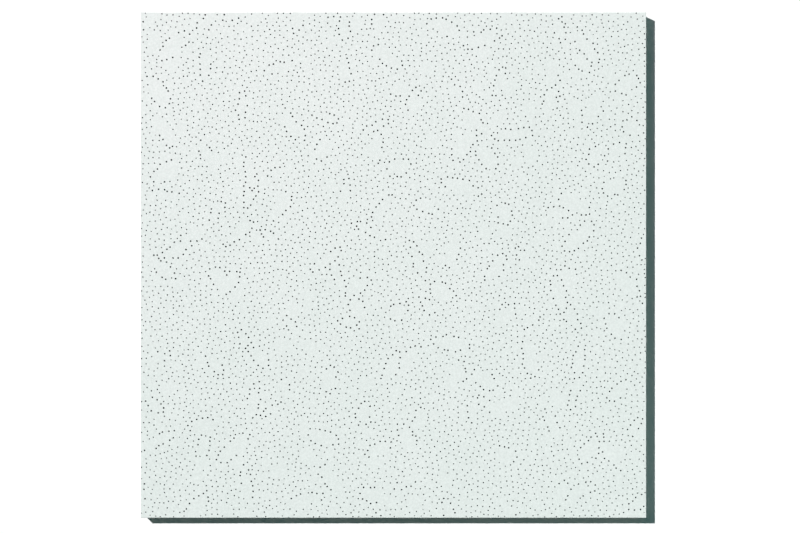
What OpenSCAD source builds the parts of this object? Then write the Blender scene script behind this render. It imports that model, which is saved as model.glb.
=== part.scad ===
// Lay-in tile for a suspended ceiling: one pressed mineral-fibre panel with a
// square-cut edge and a face that is punched with blind, round pinholes. They
// follow loose loops and arcs that are scattered over the whole face.
// The tile lies on its back with the face up. The origin is the middle of the back,
// X and Y run along the edges and +Z leaves the face. All sizes are millimetres.

/* [Panel] */
// Length of the tile along X, 5 mm under its grid module
tile_length = 595; // [295:5:620]
// Width of the tile along Y, 5 mm under its grid module
tile_width = 595; // [295:5:620]
// Thickness from the back to the face
tile_thickness = 15; // [12:0.5:24]
// Width of the eased arris round the face
arris = 0.4; // [0.2:0.1:1.5]

/* [Pinhole] */
// Diameter of a pinhole
pin_diameter = 1.7; // [1.2:0.05:2.4]
// Fibre left between a pinhole's end and the back
pin_floor = 5; // [2:0.5:9]
// Least fibre between two pinholes
pin_wall = 1.8; // [0.5:0.1:4]
// Clear border between the arris and the outermost pinholes
edge_border = 0.75; // [0.5:0.05:20]

/* [Loops] */
// Mean distance between the middles of neighbouring loops
loop_pitch = 50; // [40:0.5:90]
// Share of the places that hold a loop
loop_share = 0.9; // [0.3:0.02:1]
// Length of the shortest loop
loop_length_min = 24; // [16:0.5:30]
// Length of the longest loop
loop_length_max = 52; // [32:0.5:70]
// Width of the narrowest loop
loop_width_min = 10; // [6:0.5:14]
// Width of the widest loop
loop_width_max = 22; // [15:0.5:30]
// Angle that the most open loop runs through
loop_sweep_min = 140; // [60:5:240]
// Angle that the most closed loop runs through
loop_sweep_max = 350; // [250:5:355]
// Distance between pinholes along a loop
strike_pitch = 6.5; // [5.5:0.1:14]
// How far a needle strays from its loop
strike_wander = 1.7; // [0:0.05:2.5]
// Share of the strikes that are missing
strike_missing = 0.08; // [0:0.01:0.6]
// Number of the pattern
pattern_seed = 0; // [0:1:40]

/* [Hidden] */
$fn = 24;

// Pinholes are blind: their depth follows the panel's thickness
pin_depth = tile_thickness - pin_floor;
// How far the needle stands out of the face when it is at its deepest
pin_overcut = 1;
// Least distance between the middles of two pinholes
pin_gap = pin_diameter + pin_wall;
// Least distance from a pinhole's middle to the tile's side
pin_inset = arris + edge_border + pin_diameter / 2;

// Places for loops run past the tile by one on every side, so its rim is punched as its middle is
loop_cols = ceil(tile_length / loop_pitch) + 2;
loop_rows = ceil(tile_width / loop_pitch) + 2;
// Share of the pitch over which the middle of a loop is scattered
loop_scatter = 0.9;
// Steps in which the length along a loop is measured
loop_steps = 36;

// One whole-number mixer gives every chance, so a pattern is the same each time
hash_prime = 67108859;
hash_step = [7919, 104729, 1299709];
hash_add = 12345;
// Gives each loop a number of its own for the mixer
loop_stride = 100;
// Channels of the mixer, one for each thing that is left to chance
loop_x = 31;
loop_y = 32;
loop_tilt = 33;
loop_there = 34;
loop_length = 35;
loop_width = 36;
loop_start = 37;
loop_sweep = 38;
strike_x = 41;
strike_y = 42;
strike_there = 43;

function stir(a) = let (r = a % hash_prime) (r * r + hash_add) % hash_prime;

// A number from 0 to 1 for place i, j on one channel
function chance(i, j, channel) =
    stir(stir(stir(hash_step * [i, j, channel + pattern_seed]))) / hash_prime;

// A number between two limits for place i, j on one channel
function between(low, high, i, j, channel) = low + (high - low) * chance(i, j, channel);

// Place of number i in a row of so many, with the row centred on the tile
function centred(i, count) = i - (count - 1) / 2;

function turned(v, angle) =
    [v.x * cos(angle) - v.y * sin(angle), v.x * sin(angle) + v.y * cos(angle)];

// Middle of the loop at place i, j
function loop_middle(i, j) =
    loop_pitch * [
        centred(i, loop_cols) + loop_scatter * (chance(i, j, loop_x) - 0.5),
        centred(j, loop_rows) + loop_scatter * (chance(i, j, loop_y) - 0.5)
    ];

// Sum of the first so many numbers of a list
function total(list, count) = count == 0 ? 0 : list[count - 1] + total(list, count - 1);

// Point on the oval of the loop at place i, j, by its angle
function on_loop(i, j, angle) =
    let (
        half_length = between(loop_length_min, loop_length_max, i, j, loop_length) / 2,
        half_width = between(loop_width_min, loop_width_max, i, j, loop_width) / 2,
        tilt = 180 * chance(i, j, loop_tilt)
    )
    loop_middle(i, j) + turned([half_length * cos(angle), half_width * sin(angle)], tilt);

// Angles along a loop, each after the length of the loop up to there
function loop_table(i, j) =
    let (
        first = 360 * chance(i, j, loop_start),
        step = between(loop_sweep_min, loop_sweep_max, i, j, loop_sweep) / loop_steps,
        points = [for (k = [0:loop_steps]) on_loop(i, j, first + k * step)],
        chords = [for (k = [1:loop_steps]) norm(points[k] - points[k - 1])]
    )
    [for (k = [0:loop_steps]) [total(chords, k), first + k * step]];

// Every strike of the loop at place i, j, evenly along it but for its wander
function loop_strikes(i, j) =
    let (
        table = loop_table(i, j),
        length = table[loop_steps][0],
        count = max(1, round(length / strike_pitch)),
        number = i * loop_stride + j
    )
    [
        for (k = [0:count - 1])
            if (chance(number, k, strike_there) >= strike_missing)
                on_loop(i, j, lookup(length * (k + 0.5) / count, table))
                + 2 * strike_wander * [chance(number, k, strike_x) - 0.5, chance(number, k, strike_y) - 0.5]
    ];

// Strikes of all loops, by row and column
strikes = [
    for (j = [0:loop_rows - 1]) [
        for (i = [0:loop_cols - 1])
            chance(i, j, loop_there) < loop_share ? loop_strikes(i, j) : []
    ]
];

// Strikes of the neighbouring loops that were punched before the loop at place i, j
function earlier_strikes(i, j) = [
    for (step = [[-1, -1], [0, -1], [1, -1], [-1, 0]])
        let (loop = strikes[j + step.y][i + step.x])
        if (is_list(loop)) each loop
];

function is_clear(p, others) = len([for (q = others) if (norm(p - q) < pin_gap) 1]) == 0;

function is_inside(p) =
    abs(p.x) < tile_length / 2 - pin_inset && abs(p.y) < tile_width / 2 - pin_inset;

// Middles of the pinholes: a strike too near an earlier one is left out
pinholes = [
    for (j = [0:loop_rows - 1])
        for (i = [0:loop_cols - 1])
            let (own = strikes[j][i], earlier = earlier_strikes(i, j))
            for (k = [0:1:len(own) - 1])
                let (before = [for (m = [0:1:k - 1]) own[m]])
                if (is_inside(own[k]) && is_clear(own[k], concat(earlier, before))) own[k]
];

// Section of the panel across one pair of sides, standing on the back
module panel_section(span) {
    polygon([
        [-span / 2, 0],
        [span / 2, 0],
        [span / 2, tile_thickness - arris],
        [span / 2 - arris, tile_thickness],
        [-span / 2 + arris, tile_thickness],
        [-span / 2, tile_thickness - arris]
    ]);
}

// The blank board: square sides, and an arris that is mitred at the corners
module panel() {
    intersection() {
        rotate([90, 0, 0])
            linear_extrude(height = tile_width, center = true)
                panel_section(tile_length);
        rotate([90, 0, 90])
            linear_extrude(height = tile_length, center = true)
                panel_section(tile_width);
    }
}

// What one needle takes out, from its blunt end to above the face
module pinhole() {
    translate([0, 0, pin_floor])
        cylinder(d = pin_diameter, h = pin_depth + pin_overcut);
}

module tile() {
    color("#e5edea")
        difference() {
            panel();
            for (p = pinholes)
                translate(p)
                    pinhole();
        }
}

tile();
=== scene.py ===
"""Looks of a lay-in ceiling tile: a painted mineral-fibre panel, punched all over with pinholes.

Lengths are millimetres in the tile's own frame until the mesh is made. The floor, the camera and the
lamps are placed in metres. The large pinholes stand where the solid has them, on the same loops. The
fine ones between them are only here.
"""
import itertools
import math

import bpy
import numpy as np
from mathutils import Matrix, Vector
from mathutils.geometry import delaunay_2d_cdt


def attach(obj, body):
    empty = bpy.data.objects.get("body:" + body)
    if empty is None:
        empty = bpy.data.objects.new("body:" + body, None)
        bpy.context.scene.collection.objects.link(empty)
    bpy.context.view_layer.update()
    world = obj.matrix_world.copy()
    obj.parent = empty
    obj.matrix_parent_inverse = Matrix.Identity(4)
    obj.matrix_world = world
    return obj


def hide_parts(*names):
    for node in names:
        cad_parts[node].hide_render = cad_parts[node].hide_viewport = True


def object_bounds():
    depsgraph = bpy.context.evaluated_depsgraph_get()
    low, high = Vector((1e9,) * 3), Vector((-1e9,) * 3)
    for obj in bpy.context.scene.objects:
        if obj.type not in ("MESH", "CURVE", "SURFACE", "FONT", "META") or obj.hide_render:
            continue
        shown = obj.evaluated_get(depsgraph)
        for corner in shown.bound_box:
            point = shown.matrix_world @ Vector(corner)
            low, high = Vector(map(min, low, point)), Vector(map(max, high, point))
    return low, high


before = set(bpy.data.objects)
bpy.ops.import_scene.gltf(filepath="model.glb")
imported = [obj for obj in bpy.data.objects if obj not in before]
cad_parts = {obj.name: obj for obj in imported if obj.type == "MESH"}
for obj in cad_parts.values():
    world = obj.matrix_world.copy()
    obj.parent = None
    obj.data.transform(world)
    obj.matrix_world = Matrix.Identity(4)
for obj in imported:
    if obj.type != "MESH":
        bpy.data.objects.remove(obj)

cad_low, cad_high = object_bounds()

MM = 0.001

# Panel, with the solid's size to the nearest micrometre
SIDE = round((cad_high[0] - cad_low[0]) / MM, 3)
THICK = round((cad_high[2] - cad_low[2]) / MM, 3)
HALF = SIDE / 2
ARRIS = 0.4

# Large pinholes, as in the part's source
PIN_RADIUS = 0.85
PIN_FLOOR = 5.0
PIN_WALL = 1.8          # least fibre between two of them
EDGE_BORDER = 0.75
PIN_GAP = 2 * PIN_RADIUS + PIN_WALL
PIN_INSET = ARRIS + EDGE_BORDER + PIN_RADIUS
LOOP_PITCH = 50.0
LOOP_SHARE = 0.9        # of the places hold a loop
LOOP_SCATTER = 0.9      # of the pitch
LOOP_LENGTH = (24.0, 52.0)
LOOP_WIDTH = (10.0, 22.0)
LOOP_SWEEP = (140.0, 350.0)     # degrees
LOOP_STEPS = 36         # in which the length along a loop is measured
LOOP_STRIDE = 100       # gives each loop a number of its own
LOOP_COUNT = math.ceil(SIDE / LOOP_PITCH) + 2
EARLIER_LOOPS = ((-1, -1), (0, -1), (1, -1), (-1, 0))   # steps to those punched before a loop
STRIKE_PITCH = 6.5
STRIKE_WANDER = 1.7
STRIKE_MISSING = 0.08

# What a coarse needle leaves behind
LIP = 0.05              # width of the lip that it draws in
LIP_DROP = 0.14
MOUTH_FLARE = 0.11      # how much larger the radius is at the mouth than in the solid
PIN_TAPER = 0.86        # a pinhole's width at its end, as a share of its mouth
PIN_POINT = 0.5         # height of the blunt point at its end
PIN_SIDES = 10
OUTLINE_ROUGH = 0.12    # of the radius, in pinholes of both kinds

# Fine pinholes
FINE_PITCH = 6.78
FINE_JITTER = 1.18      # of the pitch
FINE_PASSES = 3
FINE_REACH = 1.16       # of the pitch: how far one needle keeps others away
FINE_NEIGHBOURS = 2     # places of the lattice, each way, in which it looks for others
FINE_PUSH = 0.35
FINE_BORDER = 3         # places of the lattice past each side of the tile
FINE_CLEAR = 4.2        # from a large pinhole
FINE_LEAST = 1.9        # between two fine ones
FINE_RADIUS = (0.57, 0.82)
FINE_POWER = 0.56       # under 1: most are near the wide end
FINE_DEPTH = (6.0, 9.0)
FINE_SIDES = 8
EDGE_CLEAR = 1.35       # from the middle of a whole pinhole to the tile's side

# Places without fine pinholes
LOOP_BARE = 0.70        # share of a loop's oval
PATCH_PITCH = 29.0
PATCH_SCATTER = 1.0     # of the pitch
PATCH_BORDER = 2
PATCH_SHARE = 0.33
PATCH_RADIUS = (3.7, 8.5)
PATCH_POWER = 1.6       # over 1: most are near the small end

# Pinholes that the saw cut open along the tile's sides
CUT_REACH = 0.32        # from the side to their middles, at most
CUT_RADIUS = 0.62
CUT_FLOOR = 7.5
CUT_CORNER = 6.0        # from a corner of the tile, at least
CUT_SPLAY = 0.2         # how much deeper they bite at the face
CUT_OUTLINE = ((-0.72, 0.69), (0, 1), (0.72, 0.69))     # along the side and into it, in radii

# Sawn sides
SIDE_STEP = 4.0
SIDE_ROWS = (0.0, 2.2, 4.6, 6.9, CUT_FLOOR, 9.9, 12.4, THICK - ARRIS)
SIDE_ROUGH = 0.16
RIM_ROUGH = 0.07
QUARTERS = np.array([(1, 0), (0, 1), (-1, 0), (0, -1)])     # cosine and sine of each side's turn

# Limits of the reckoning
FAR = 1e6
TINY = 1e-9
CORNER_TOLERANCE = 1e-6
NET_TOLERANCE = 1e-5
NET_INSIDE = 1          # asks for the triangles inside the border
SHARP_DEGREES = 40      # an edge that bends more is shaded as a sharp one

# The whole-number mixer of the part's source, which gives every chance
HASH_PRIME = 67108859
HASH_STEP = (7919, 104729, 1299709)
HASH_ADD = 12345


class Channel:
    """Channels of the mixer, one for each thing left to chance. Loops and strikes have the source's."""

    FINE_X = 1
    FINE_Y = 2
    PATCH_X = 11
    PATCH_Y = 12
    PATCH_RADIUS = 13
    PATCH_THERE = 14
    LOOP_X = 31
    LOOP_Y = 32
    LOOP_TILT = 33
    LOOP_THERE = 34
    LOOP_LENGTH = 35
    LOOP_WIDTH = 36
    LOOP_START = 37
    LOOP_SWEEP = 38
    STRIKE_X = 41
    STRIKE_Y = 42
    STRIKE_THERE = 43
    LARGE_TURN = 61
    LARGE_OUTLINE = 62
    FINE_RADIUS = 71
    FINE_DEPTH = 72
    FINE_TURN = 73
    FINE_OUTLINE = 74
    SIDE_ROUGH = 81
    RIM_ROUGH = 82


def stir(a):
    r = a % HASH_PRIME
    return (r * r + HASH_ADD) % HASH_PRIME


def chance(i, j, channel):
    """A number from 0 to 1 for place i, j on one channel, the same each time. Takes arrays too."""
    start = HASH_STEP[0] * i + HASH_STEP[1] * j + HASH_STEP[2] * channel
    return stir(stir(stir(start))) / HASH_PRIME


def between(limits, share):
    low, high = limits
    return low + (high - low) * share


def scattered(i, j, count, pitch, scatter, channels):
    """Place i, j of a square lattice about the tile's middle, shaken by a share of its pitch."""
    shift = np.stack([chance(i, j, channel) for channel in channels], -1) - 0.5
    return pitch * (np.stack([i, j], -1) - (count - 1) / 2 + scatter * shift)


class Loop:
    """One oval along which the coarse needles struck."""

    def __init__(self, i, j):
        def drawn(limits, channel):
            return between(limits, chance(i, j, channel))

        channels = (Channel.LOOP_X, Channel.LOOP_Y)
        self.middle = scattered(i, j, LOOP_COUNT, LOOP_PITCH, LOOP_SCATTER, channels)
        length = drawn(LOOP_LENGTH, Channel.LOOP_LENGTH)
        width = drawn(LOOP_WIDTH, Channel.LOOP_WIDTH)
        self.half = np.array([length, width]) / 2
        tilt = math.pi * chance(i, j, Channel.LOOP_TILT)
        self.turn = np.array([[math.cos(tilt), -math.sin(tilt)], [math.sin(tilt), math.cos(tilt)]])
        first = 360 * chance(i, j, Channel.LOOP_START)
        step = drawn(LOOP_SWEEP, Channel.LOOP_SWEEP) / LOOP_STEPS
        self.strikes = self.struck(first + step * np.arange(LOOP_STEPS + 1), i * LOOP_STRIDE + j)

    def at(self, degrees):
        a = np.radians(degrees)
        return self.middle + np.c_[self.half[0] * np.cos(a), self.half[1] * np.sin(a)] @ self.turn.T

    def struck(self, angles, number):
        """Strikes evenly along the loop, but for their wander and the missing ones."""
        along = np.r_[0, np.cumsum(np.linalg.norm(np.diff(self.at(angles), axis=0), axis=1))]
        count = max(1, math.floor(along[-1] / STRIKE_PITCH + 0.5))
        k = np.arange(count)
        spots = self.at(np.interp(along[-1] * (k + 0.5) / count, along, angles))
        stray = np.c_[chance(number, k, Channel.STRIKE_X), chance(number, k, Channel.STRIKE_Y)] - 0.5
        there = chance(number, k, Channel.STRIKE_THERE) >= STRIKE_MISSING
        return (spots + 2 * STRIKE_WANDER * stray)[there]

    def keeps_out(self, points):
        """Which points lie in the bare middle of the oval."""
        return (((points - self.middle) @ self.turn / self.half) ** 2).sum(1) < LOOP_BARE ** 2


def make_loops():
    return {
        (i, j): Loop(i, j)
        for j in range(LOOP_COUNT)
        for i in range(LOOP_COUNT)
        if chance(i, j, Channel.LOOP_THERE) < LOOP_SHARE
    }


def large_pinholes(loops):
    """Strikes inside the border that keep clear of every earlier one."""
    kept = []
    for (i, j), loop in loops.items():
        before = [
            strike
            for a, b in EARLIER_LOOPS
            if (i + a, j + b) in loops
            for strike in loops[i + a, j + b].strikes
        ]
        for strike in loop.strikes:
            clear = all(math.dist(strike, other) >= PIN_GAP for other in before)
            if clear and np.abs(strike).max() < HALF - PIN_INSET:
                kept.append(strike)
            before.append(strike)
    return np.array(kept)


def fine_needles():
    """A square lattice of needles, shaken and then pushed apart: they lie evenly, but in no rows."""
    count = math.ceil(SIDE / FINE_PITCH) + 2 * FINE_BORDER
    j, i = np.mgrid[0:count, 0:count]
    needles = scattered(i, j, count, FINE_PITCH, FINE_JITTER, (Channel.FINE_X, Channel.FINE_Y))
    reach = FINE_REACH * FINE_PITCH
    near = FINE_NEIGHBOURS
    for _ in range(FINE_PASSES):
        push = np.zeros_like(needles)
        padded = np.pad(needles, ((near, near), (near, near), (0, 0)), constant_values=FAR)
        for a, b in itertools.product(range(2 * near + 1), repeat=2):
            if a == near and b == near:
                continue
            apart = needles - padded[a:a + count, b:b + count]
            distance = np.maximum(np.linalg.norm(apart, axis=2, keepdims=True), TINY)
            push += np.maximum(0, 1 - distance / reach) * FINE_PUSH * reach / 2 * apart / distance
        needles = needles + push
    return needles.reshape(-1, 2)


def bare_patches():
    """Middles and radii of the round patches that the fine needles missed."""
    count = math.ceil(SIDE / PATCH_PITCH) + 2 * PATCH_BORDER
    j, i = np.mgrid[0:count, 0:count]
    channels = (Channel.PATCH_X, Channel.PATCH_Y)
    middles = scattered(i, j, count, PATCH_PITCH, PATCH_SCATTER, channels)
    radii = between(PATCH_RADIUS, chance(i, j, Channel.PATCH_RADIUS) ** PATCH_POWER)
    there = chance(i, j, Channel.PATCH_THERE) < PATCH_SHARE
    return middles[there], radii[there]


def far_from(points, others, distance):
    """Which points lie further than a distance from every other one."""
    gaps = np.linalg.norm(points[:, None] - others[None], axis=2)
    return (gaps - distance).min(1) > 0


def fine_pinholes(large, loops):
    """Fine pinholes between the loops, and those that the tile's sides cut open."""
    needles = fine_needles()
    patches, radii = bare_patches()
    keep = far_from(needles, large, FINE_CLEAR) & far_from(needles, patches, radii)
    for loop in loops.values():
        keep &= ~loop.keeps_out(needles)
    needles = needles[keep]
    inset = HALF - np.abs(needles).max(1)
    cut = needles[(np.abs(inset) < CUT_REACH) & (np.abs(needles).min(1) < HALF - CUT_CORNER)]
    whole = np.clip(needles[inset > CUT_REACH], EDGE_CLEAR - HALF, HALF - EDGE_CLEAR)
    gaps = np.linalg.norm(whole[:, None] - whole[None], axis=2)
    gaps[np.tril_indices(len(whole))] = FAR
    return whole[gaps.min(0) > FINE_LEAST], cut


def add_object(name, data):
    thing = bpy.data.objects.new(name, data)
    bpy.context.scene.collection.objects.link(thing)
    return thing


class Shell:
    """Collects the points and faces of one closed mesh, with a place on its map for every corner."""

    def __init__(self):
        self.points = []
        self.count = 0
        self.faces = []
        self.places = []
        self.slots = []
        self.smooth = []

    def add_points(self, xyz):
        """Takes an array of points and returns their numbers, in the array's own shape."""
        numbers = self.count + np.arange(xyz[..., 0].size).reshape(xyz.shape[:-1])
        self.points.append(xyz.reshape(-1, 3))
        self.count += numbers.size
        return numbers

    def add_faces(self, corners, places, slot, smooth):
        corners = corners.reshape(-1, corners.shape[-1])
        self.faces += corners.tolist()
        self.places.append(places.reshape(-1, 2))
        self.slots += [slot] * len(corners)
        self.smooth += [smooth] * len(corners)

    def xy(self):
        return np.concatenate(self.points)[:, :2]

    def build(self, name, materials):
        mesh = bpy.data.meshes.new(name)
        mesh.from_pydata((np.concatenate(self.points) * MM).tolist(), [], self.faces)
        mesh.polygons.foreach_set("material_index", self.slots)
        mesh.polygons.foreach_set("use_smooth", self.smooth)
        layer = mesh.uv_layers.new(name="OFBake")
        layer.uv.foreach_set("vector", np.concatenate(self.places).astype(np.float32).ravel())
        for material in materials:
            mesh.materials.append(material)
        mesh.set_sharp_from_angle(angle=math.radians(SHARP_DEGREES))
        mesh.validate()
        mesh.update()
        return add_object(name, mesh)


# Slots of the tile's materials
PAINT, FIBRE, TORN = range(3)

# Places on the tile's map: its face, its back, its four sides, and a spot for each kind of pinhole
MAP_FACE = (0.01, 0.01, 0.78)
MAP_BACK = (0.81, 0.01, 0.18)
MAP_SIDES = (0.01, 0.82, 0.98)
MAP_SIDE_STEP = 0.035
MAP_LARGE = (0.90, 0.36)
MAP_FINE = (0.90, 0.58)
MAP_SPOT = 0.07
MAP_FOOT = 0.35         # of the spot, for the foot of a large pinhole's wall


def on_square(xy, square):
    return np.array(square[:2]) + (xy / SIDE + 0.5) * square[2]


def on_spot(centre, angle, share):
    """Places on a round spot of the map."""
    return np.array(centre) + share * MAP_SPOT * np.stack([np.cos(angle), np.sin(angle)], -1)


def with_z(xy, z):
    return np.concatenate([xy, np.broadcast_to(z, xy.shape[:-1])[..., None]], -1)


def ring_of(middles, radii, sides, turn_channel, outline_channel):
    """A ring of points round each middle, and their angles. No two rings are quite alike."""
    number = np.arange(len(middles))[:, None]
    corner = np.arange(sides)[None]
    angle = 2 * math.pi * (corner + chance(number, 0, turn_channel)) / sides
    as_round = math.sqrt(math.pi / (sides / 2 * math.sin(2 * math.pi / sides)))
    stray = OUTLINE_ROUGH * (chance(number, corner, outline_channel) - 0.5)
    radius = as_round * radii[:, None] * (1 + stray)
    return np.stack([np.cos(angle) * radius, np.sin(angle) * radius], 2) + middles[:, None], angle


def band(upper, lower):
    """Corners of the faces between closed rings, as numbers of points or as places on the map."""
    return np.stack([upper, np.roll(upper, -1, 1), np.roll(lower, -1, 1), lower], 2)


def fan(rings, tips):
    """Corners of the faces between closed rings and their tips, given as for a band."""
    return np.stack([rings, np.roll(rings, -1, 1), np.broadcast_to(tips, rings.shape)], 2)


def add_painted(shell, corners, smooth):
    shell.add_faces(corners, on_square(shell.xy()[corners], MAP_FACE), PAINT, smooth)


def add_large(shell, middles):
    """Round blind pinholes with a drawn-in lip. Returns the rings at the face."""
    radii = np.full(len(middles), PIN_RADIUS + MOUTH_FLARE)
    mouth, angle = ring_of(middles, radii, PIN_SIDES, Channel.LARGE_TURN, Channel.LARGE_OUTLINE)
    out = (mouth - middles[:, None]) / PIN_RADIUS
    narrow = middles[:, None] + PIN_RADIUS * PIN_TAPER * out
    lip = shell.add_points(with_z(mouth + LIP * out, THICK))
    rim = shell.add_points(with_z(mouth, THICK - LIP_DROP))
    foot = shell.add_points(with_z(narrow, PIN_FLOOR + PIN_POINT))
    end = shell.add_points(with_z(middles, PIN_FLOOR))
    outer = on_spot(MAP_LARGE, angle, 1)
    inner = on_spot(MAP_LARGE, angle, MAP_FOOT)
    add_painted(shell, band(lip, rim), True)
    shell.add_faces(band(rim, foot), band(outer, inner), TORN, True)
    shell.add_faces(fan(foot, end[:, None]), fan(inner, MAP_LARGE), TORN, True)
    return lip


def add_fine(shell, middles):
    """Pointed pinholes of a fine needle. Returns the rings at the face."""
    number = np.arange(len(middles))
    radii = between(FINE_RADIUS, chance(number, 0, Channel.FINE_RADIUS) ** FINE_POWER)
    depth = between(FINE_DEPTH, chance(number, 0, Channel.FINE_DEPTH))
    mouth, angle = ring_of(middles, radii, FINE_SIDES, Channel.FINE_TURN, Channel.FINE_OUTLINE)
    rim = shell.add_points(with_z(mouth, THICK))
    tip = shell.add_points(with_z(middles, THICK - depth))
    places = fan(on_spot(MAP_FINE, angle, 1), MAP_FINE)
    shell.add_faces(fan(rim, tip[:, None]), places, TORN, False)
    return rim


def side_stations(cuts):
    """Places along one side from its first corner, each with how deep a cut pinhole bites there."""
    plain = np.linspace(-HALF, HALF, round(SIDE / SIDE_STEP) + 1)[:-1]
    found = [(s, 0.0) for s in plain if all(abs(s - c) > 2 * CUT_RADIUS for c, _ in cuts)]
    for c, inset in cuts:
        found += [(c - CUT_RADIUS, 0.0), (c + CUT_RADIUS, 0.0)]
        found += [(c + u * CUT_RADIUS, max(0.0, inset + v * CUT_RADIUS)) for u, v in CUT_OUTLINE]
    return sorted(found)


def all_stations(cut):
    """Places along all four sides, the bites there and the numbers of the sides."""
    found = []
    for k, (c, s) in enumerate(QUARTERS):
        # Each side runs along X after its turn
        turned = cut @ np.array([[c, -s], [s, c]])
        own = turned[-turned[:, 1] > HALF - CUT_REACH]
        stations = side_stations([(x, HALF + y) for x, y in own])
        found += [(along, bite, k) for along, bite in stations]
    along, bites, side = (np.array(column) for column in zip(*found))
    return along, bites, side


def add_sides(shell, cut):
    """The sawn sides, the arris and the back. Returns the ring of points round the face."""
    along, bites, side = all_stations(cut)
    number = np.arange(len(along))
    corner = along < -HALF + CORNER_TOLERANCE

    def row(z, inset):
        y = inset - HALF
        x = np.where(corner, y, np.maximum(along, y))
        c, s = QUARTERS[side].T
        return shell.add_points(np.c_[c * x - s * y, s * x + c * y, np.full(len(x), z)])

    rows = []
    for k, z in enumerate(SIDE_ROWS):
        rough = SIDE_ROUGH * chance(number, k, Channel.SIDE_ROUGH) ** 2 * (z > 0)
        inset = np.maximum(rough, bites * (z > CUT_FLOOR))
        rows.append(row(z, np.where(corner, 0.0, inset)))
    rough = ARRIS + RIM_ROUGH * chance(number, 0, Channel.RIM_ROUGH)
    inset = np.maximum(rough, bites + CUT_SPLAY * (bites > 0))
    rim = row(THICK, np.where(corner, ARRIS, inset))

    scale = MAP_SIDES[2] / SIDE
    ends = np.roll(along, -1)
    ends = np.where(ends < along, HALF, ends)
    left, right = (MAP_SIDES[0] + (x + HALF) * scale for x in (along, ends))
    levels = [MAP_SIDES[1] + MAP_SIDE_STEP * side + z * scale for z in SIDE_ROWS]
    for lower, upper, low, high in zip(rows, rows[1:], levels, levels[1:]):
        corners = ((left, low), (right, low), (right, high), (left, high))
        places = np.stack([np.stack(place, -1) for place in corners], 1)
        shell.add_faces(band(lower[None], upper[None]), places, FIBRE, True)
    add_painted(shell, band(rows[-1][None], rim[None]), False)
    back = rows[0][::-1]
    shell.add_faces(back[None], on_square(shell.xy()[back] * (-1, 1), MAP_BACK), FIBRE, False)
    return rim


def add_face(shell, border, rings):
    """The painted face between its border and the pinholes' mouths, as a net of triangles."""
    outlines = [border] + [ring for group in rings for ring in group]
    used = np.concatenate(outlines)
    owner = np.concatenate([np.full(len(ring), k) for k, ring in enumerate(outlines)])
    starts = np.cumsum([0] + [len(ring) for ring in outlines])
    edges = [
        (first + k, first + (k + 1) % len(ring))
        for first, ring in zip(starts, outlines)
        for k in range(len(ring))
    ]
    flat = [Vector(point) for point in shell.xy()[used].tolist()]
    _, _, net, origins, _, _ = delaunay_2d_cdt(flat, edges, [], NET_INSIDE, NET_TOLERANCE)
    faces = np.array([origin[0] for origin in origins])[np.array(net)]
    first = owner[faces[:, 0]]
    in_hole = (owner[faces] == first[:, None]).all(1) & (first > 0)
    faces = used[faces[~in_hole]]
    a, b, c = np.moveaxis(shell.xy()[faces], 1, 0)
    clockwise = (b - a)[:, 0] * (c - a)[:, 1] - (b - a)[:, 1] * (c - a)[:, 0] < 0
    faces[clockwise] = faces[clockwise][:, ::-1]
    add_painted(shell, faces, False)


# Colours of the materials. Tints and tones run from dark to light
PAINT_TINTS = ((0.792, 0.855, 0.833), (0.815, 0.868, 0.851))
FIBRE_TONES = ((0.40, 0.385, 0.345), (0.56, 0.545, 0.50), (0.68, 0.665, 0.62))
GRAIN_COLOUR = (0.80, 0.79, 0.75)
FLECK_COLOUR = (0.24, 0.22, 0.19)
# The pinholes' raw fibre, darkened and tinted like the room's light: painted shade inside the holes
TORN_AND_SHADED_TONES = ((0.105, 0.140, 0.135), (0.170, 0.220, 0.213))
WHITE = (1, 1, 1, 1)
SPECULAR = 0.25         # of the tile's materials, which are all matt

# Sockets of a Mix node that mixes colours
MIX_AMOUNT, MIX_FIRST, MIX_SECOND = 0, 6, 7
MIX_RESULT = 2


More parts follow.
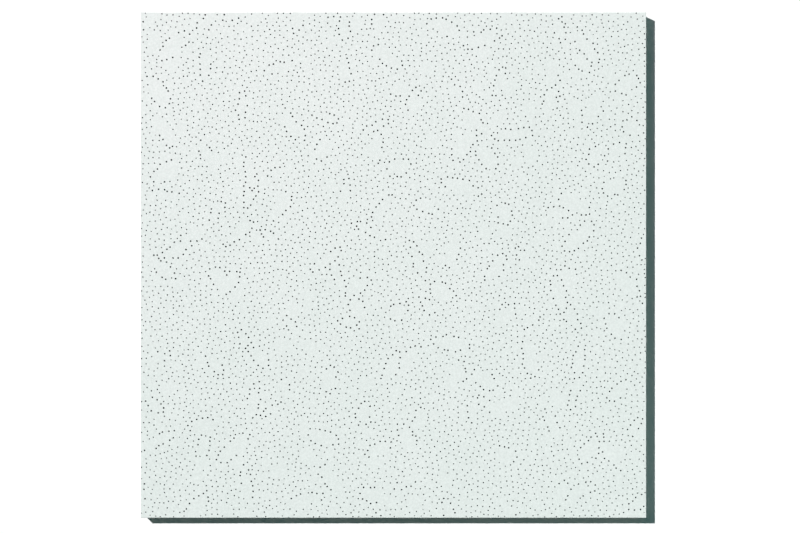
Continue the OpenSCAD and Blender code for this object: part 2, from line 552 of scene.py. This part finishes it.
class Nodes:
    """A short way to write a node tree."""

    def __init__(self, tree):
        self.tree = tree
        tree.nodes.clear()

    def add(self, kind, inputs=None, **settings):
        node = self.tree.nodes.new(kind)
        for key, value in settings.items():
            setattr(node, key, value)
        for key, value in (inputs or {}).items():
            if isinstance(value, bpy.types.NodeSocket):
                self.tree.links.new(value, node.inputs[key])
            else:
                node.inputs[key].default_value = value
        return node

    def noise(self, where, scale, detail=3.0, roughness=0.55):
        inputs = {"Vector": where, "Scale": scale, "Detail": detail, "Roughness": roughness}
        return self.add("ShaderNodeTexNoise", inputs).outputs["Fac"]

    def stretched(self, where, scale):
        return self.add("ShaderNodeMapping", {"Vector": where, "Scale": scale}).outputs["Vector"]

    def ramp(self, value, *stops):
        node = self.add("ShaderNodeValToRGB", {"Fac": value})
        elements = node.color_ramp.elements
        while len(elements) < len(stops):
            elements.new(0.5)
        for element, (position, colour) in zip(elements, stops):
            element.position = position
            element.color = (*colour, 1)
        return node.outputs["Color"]

    def mixed(self, how, amount, first, second):
        inputs = {MIX_AMOUNT: amount, MIX_FIRST: first, MIX_SECOND: second}
        node = self.add("ShaderNodeMix", inputs, data_type="RGBA", blend_type=how)
        return node.outputs[MIX_RESULT]

    def product(self, colour, *factors):
        for factor in factors:
            colour = self.mixed("MULTIPLY", 1.0, colour, factor)
        return colour

    def flecked(self, colour, mask, amount, fleck):
        """Lays the colour of a fleck over another, where its mask is white."""
        return self.mixed("MIX", self.math("MULTIPLY", mask, amount), colour, (*fleck, 1))

    def math(self, how, *values):
        return self.add("ShaderNodeMath", dict(enumerate(values)), operation=how).outputs[0]

    def bump(self, height, distance, strength, normal=None):
        inputs = {"Height": height, "Distance": distance, "Strength": strength}
        if normal is not None:
            inputs["Normal"] = normal
        return self.add("ShaderNodeBump", inputs).outputs["Normal"]

    def finish(self, colour, roughness, normal):
        inputs = {
            "Base Color": colour,
            "Roughness": roughness,
            "Normal": normal,
            "Specular IOR Level": SPECULAR,
        }
        shader = self.add("ShaderNodeBsdfPrincipled", inputs)
        self.add("ShaderNodeOutputMaterial", {"Surface": shader.outputs["BSDF"]})


def grey(value):
    return (value, value, value)


def new_material(name):
    material = bpy.data.materials.new(name)
    material.use_nodes = True
    return material, Nodes(material.node_tree)


def paint_material():
    """Matt white paint with a cool tint, faint clouds, a roller's stipple, lint and small pits."""
    material, nodes = new_material("tile_paint")
    where = nodes.add("ShaderNodeTexCoord").outputs["Object"]
    clouds = nodes.noise(where, scale=16.0)
    stipple = nodes.noise(where, scale=380.0, roughness=0.6)
    grain = nodes.noise(where, scale=1600.0, detail=2.0, roughness=0.6)
    lint = nodes.noise(nodes.stretched(where, (1.0, 0.22, 1.0)), scale=900.0, roughness=0.6)
    pits = nodes.noise(where, scale=1300.0, detail=1.0, roughness=0.5)
    tint = nodes.ramp(clouds, (0.3, PAINT_TINTS[0]), (0.7, PAINT_TINTS[1]))
    shade = nodes.ramp(stipple, (0.3, grey(0.885)), (0.7, grey(1.0)))
    streak = nodes.ramp(lint, (0.35, grey(0.97)), (0.6, grey(1.0)))
    pitted = nodes.ramp(pits, (0.70, grey(1.0)), (0.76, grey(0.80)))
    colour = nodes.product(tint, shade, streak, pitted)
    roughness = nodes.ramp(stipple, (0.3, grey(0.84)), (0.7, grey(0.94)))
    normal = nodes.bump(stipple, distance=0.24 * MM, strength=0.5)
    normal = nodes.bump(lint, distance=0.10 * MM, strength=0.5, normal=normal)
    normal = nodes.bump(grain, distance=0.07 * MM, strength=0.6, normal=normal)
    normal = nodes.bump(pitted, distance=0.12 * MM, strength=0.6, normal=normal)
    nodes.finish(colour, roughness, normal)
    return material


def fibre_material():
    """Raw mineral fibre: grey-beige wool in layers, with pale grains and dark flecks."""
    material, nodes = new_material("tile_raw_fibre")
    where = nodes.add("ShaderNodeTexCoord").outputs["Object"]
    layered = nodes.stretched(where, (1.0, 1.0, 4.0))
    combed = nodes.stretched(where, (3.2, 0.9, 5.0))
    strands = nodes.noise(layered, scale=260.0, detail=6.0, roughness=0.7)
    wool = nodes.noise(combed, scale=520.0, detail=4.0, roughness=0.65)
    clouds = nodes.noise(where, scale=28.0)
    grains = nodes.add("ShaderNodeTexVoronoi", {"Vector": where, "Scale": 420.0}).outputs["Distance"]
    flecks = nodes.noise(where, scale=900.0, detail=2.0, roughness=0.5)
    base = nodes.ramp(strands, *zip((0.25, 0.55, 0.8), FIBRE_TONES))
    tone = nodes.ramp(clouds, (0.3, grey(0.90)), (0.7, grey(1.0)))
    pale = nodes.ramp(grains, (0.06, grey(1.0)), (0.16, grey(0.0)))
    dark = nodes.ramp(flecks, (0.66, grey(0.0)), (0.74, grey(1.0)))
    colour = nodes.flecked(nodes.product(base, tone), pale, 0.55, GRAIN_COLOUR)
    colour = nodes.flecked(colour, dark, 0.5, FLECK_COLOUR)
    roughness = nodes.ramp(strands, (0.3, grey(0.90)), (0.7, grey(1.0)))
    normal = nodes.bump(strands, distance=0.6 * MM, strength=0.7)
    normal = nodes.bump(wool, distance=0.3 * MM, strength=0.6, normal=normal)
    nodes.finish(colour, roughness, normal)
    return material


def torn_and_shaded_material():
    """Torn fibre inside a pinhole, with painted shade: darker and cooler than the sides' raw fibre, and
    darker still towards its end.
    """
    material, nodes = new_material("tile_pinhole_wall")
    where = nodes.add("ShaderNodeTexCoord").outputs["Object"]
    wool = nodes.noise(where, scale=1100.0, detail=4.0, roughness=0.65)
    height = nodes.add("ShaderNodeSeparateXYZ", {"Vector": where}).outputs["Z"]
    height = nodes.math("DIVIDE", height, THICK * MM)
    tone = nodes.ramp(wool, (0.3, TORN_AND_SHADED_TONES[0]), (0.7, TORN_AND_SHADED_TONES[1]))
    # Painted shade: darker the deeper it lies in a pinhole
    shade = nodes.ramp(height, (0.45, grey(0.35)), (1.0, grey(1.0)))
    roughness = nodes.ramp(wool, (0.3, grey(0.92)), (0.7, grey(1.0)))
    normal = nodes.bump(wool, distance=0.2 * MM, strength=0.6)
    nodes.finish(nodes.product(tone, shade), roughness, normal)
    return material


def make_tile():
    loops = make_loops()
    large = large_pinholes(loops)
    fine, cut = fine_pinholes(large, loops)
    shell = Shell()
    border = add_sides(shell, cut)
    rings = [add_large(shell, large), add_fine(shell, fine)]
    add_face(shell, border, rings)
    return shell.build("ceiling_tile", [paint_material(), fibre_material(), torn_and_shaded_material()])


tile = make_tile()
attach(tile, "root")
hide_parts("tile")

# Floor
FLOOR_HALF = 12.0


def make_floor():
    """A white sheet under the tile."""
    signs = ((-1, -1), (1, -1), (1, 1), (-1, 1))
    mesh = bpy.data.meshes.new("floor")
    mesh.from_pydata([(x * FLOOR_HALF, y * FLOOR_HALF, 0) for x, y in signs], [], [(0, 1, 2, 3)])
    material, nodes = new_material("floor_white")
    sheet = nodes.add("ShaderNodeBsdfDiffuse", {"Color": WHITE})
    nodes.add("ShaderNodeOutputMaterial", {"Surface": sheet.outputs["BSDF"]})
    mesh.materials.append(material)
    return add_object("floor", mesh)


floor = make_floor()

# Camera: straight above, at the photograph's distance and framing
FRAME_WIDTH = 800       # pixels
PIXEL = 1.1762 * MM     # one pixel of the photograph at the tile's face
CAMERA_HEIGHT = 1.12    # above the face
CAMERA_X, CAMERA_Y = 0.00774, -0.00232
SENSOR = 36.0


def make_camera():
    camera = add_object("camera", bpy.data.cameras.new("camera"))
    camera.data.sensor_width = SENSOR
    camera.data.lens = SENSOR * CAMERA_HEIGHT / (FRAME_WIDTH * PIXEL)
    camera.location = (CAMERA_X, CAMERA_Y, THICK * MM + CAMERA_HEIGHT)
    bpy.context.scene.camera = camera


make_camera()

# Light: a small key lamp to the upper left, a weak fill over the upper edge, a weaker card to the
# lower right and a dim room. A lamp's level is how light it alone makes a white sheet: the key's
# anywhere on the floor, and the other two's a metre straight below them.
WATTS_FOR_WHITE = 4 * math.pi ** 2      # of a lamp a metre above a white sheet
KEY_AT = (-1.925, 1.35, 2.3)
KEY_RADIUS = 0.04
KEY_LEVEL = 0.948
KEY_COLOUR = (1.019, 1.0, 0.99)
KEY_FEATHER = 3.0       # lights the floor evenly, where 0 is a bare lamp
FILL_AT = (-0.21, 0.40, 0.615)
FILL_RADIUS = 0.2
FILL_LEVEL = 0.0505
FILL_COLOUR = (1.0, 0.543, 0.705)
CARD_AT = (0.55, -0.45, 0.35)
CARD_RADIUS = 0.15
CARD_LEVEL = 0.0073
CARD_COLOUR = (0.72, 1.0, 0.89)
ROOM_LEVEL = 0.0748
ROOM_COLOUR = (0.38, 1.0, 0.98, 1)
ROOM_LEAN = (0.55, 1.12, 0)     # the room is lighter on this side of the tile


def add_lamp(name, place, radius, level, colour):
    """A round lamp, with its level a metre straight below it."""
    light = bpy.data.lights.new(name, "POINT")
    light.shadow_soft_size = radius
    light.energy = level * WATTS_FOR_WHITE
    light.color = colour
    add_object(name, light).location = place
    return light


def add_key():
    """The key lamp, stronger along longer rays, so that the floor is lit evenly."""
    reach = math.dist(KEY_AT, (0, 0, 0))
    light = add_lamp("key", KEY_AT, KEY_RADIUS, KEY_LEVEL * reach ** 3 / KEY_AT[2], KEY_COLOUR)
    light.use_nodes = True
    nodes = Nodes(light.node_tree)
    distance = nodes.add("ShaderNodeLightPath").outputs["Ray Length"]
    strength = nodes.math("POWER", nodes.math("DIVIDE", distance, reach), KEY_FEATHER)
    emission = nodes.add("ShaderNodeEmission", {"Strength": strength})
    nodes.add("ShaderNodeOutputLight", {"Surface": emission.outputs["Emission"]})


def make_room():
    """A dim room that lights the tile, and plain white where the camera or a reflection sees it."""
    world = bpy.data.worlds.new("room")
    world.use_nodes = True
    bpy.context.scene.world = world
    nodes = Nodes(world.node_tree)
    path = nodes.add("ShaderNodeLightPath").outputs
    mirrored = nodes.math("MAXIMUM", path["Is Glossy Ray"], path["Is Transmission Ray"])
    seen = nodes.math("MAXIMUM", path["Is Camera Ray"], mirrored)
    where = nodes.add("ShaderNodeTexCoord").outputs["Generated"]
    side = nodes.add("ShaderNodeVectorMath", {0: where, 1: ROOM_LEAN}, operation="DOT_PRODUCT")
    lean = nodes.math("MULTIPLY_ADD", side.outputs["Value"], ROOM_LEVEL, ROOM_LEVEL)
    strength = nodes.math("MAXIMUM", lean, 0.0)
    dim = nodes.add("ShaderNodeBackground", {"Color": ROOM_COLOUR, "Strength": strength})
    white = nodes.add("ShaderNodeBackground", {"Color": WHITE, "Strength": 1.0})
    both = {0: seen, 1: dim.outputs["Background"], 2: white.outputs["Background"]}
    shader = nodes.add("ShaderNodeMixShader", both)
    nodes.add("ShaderNodeOutputWorld", {"Surface": shader.outputs["Shader"]})


add_key()
add_lamp("fill", FILL_AT, FILL_RADIUS, FILL_LEVEL, FILL_COLOUR)
add_lamp("card", CARD_AT, CARD_RADIUS, CARD_LEVEL, CARD_COLOUR)
make_room()

bpy.context.scene.view_settings.view_transform = "Standard"
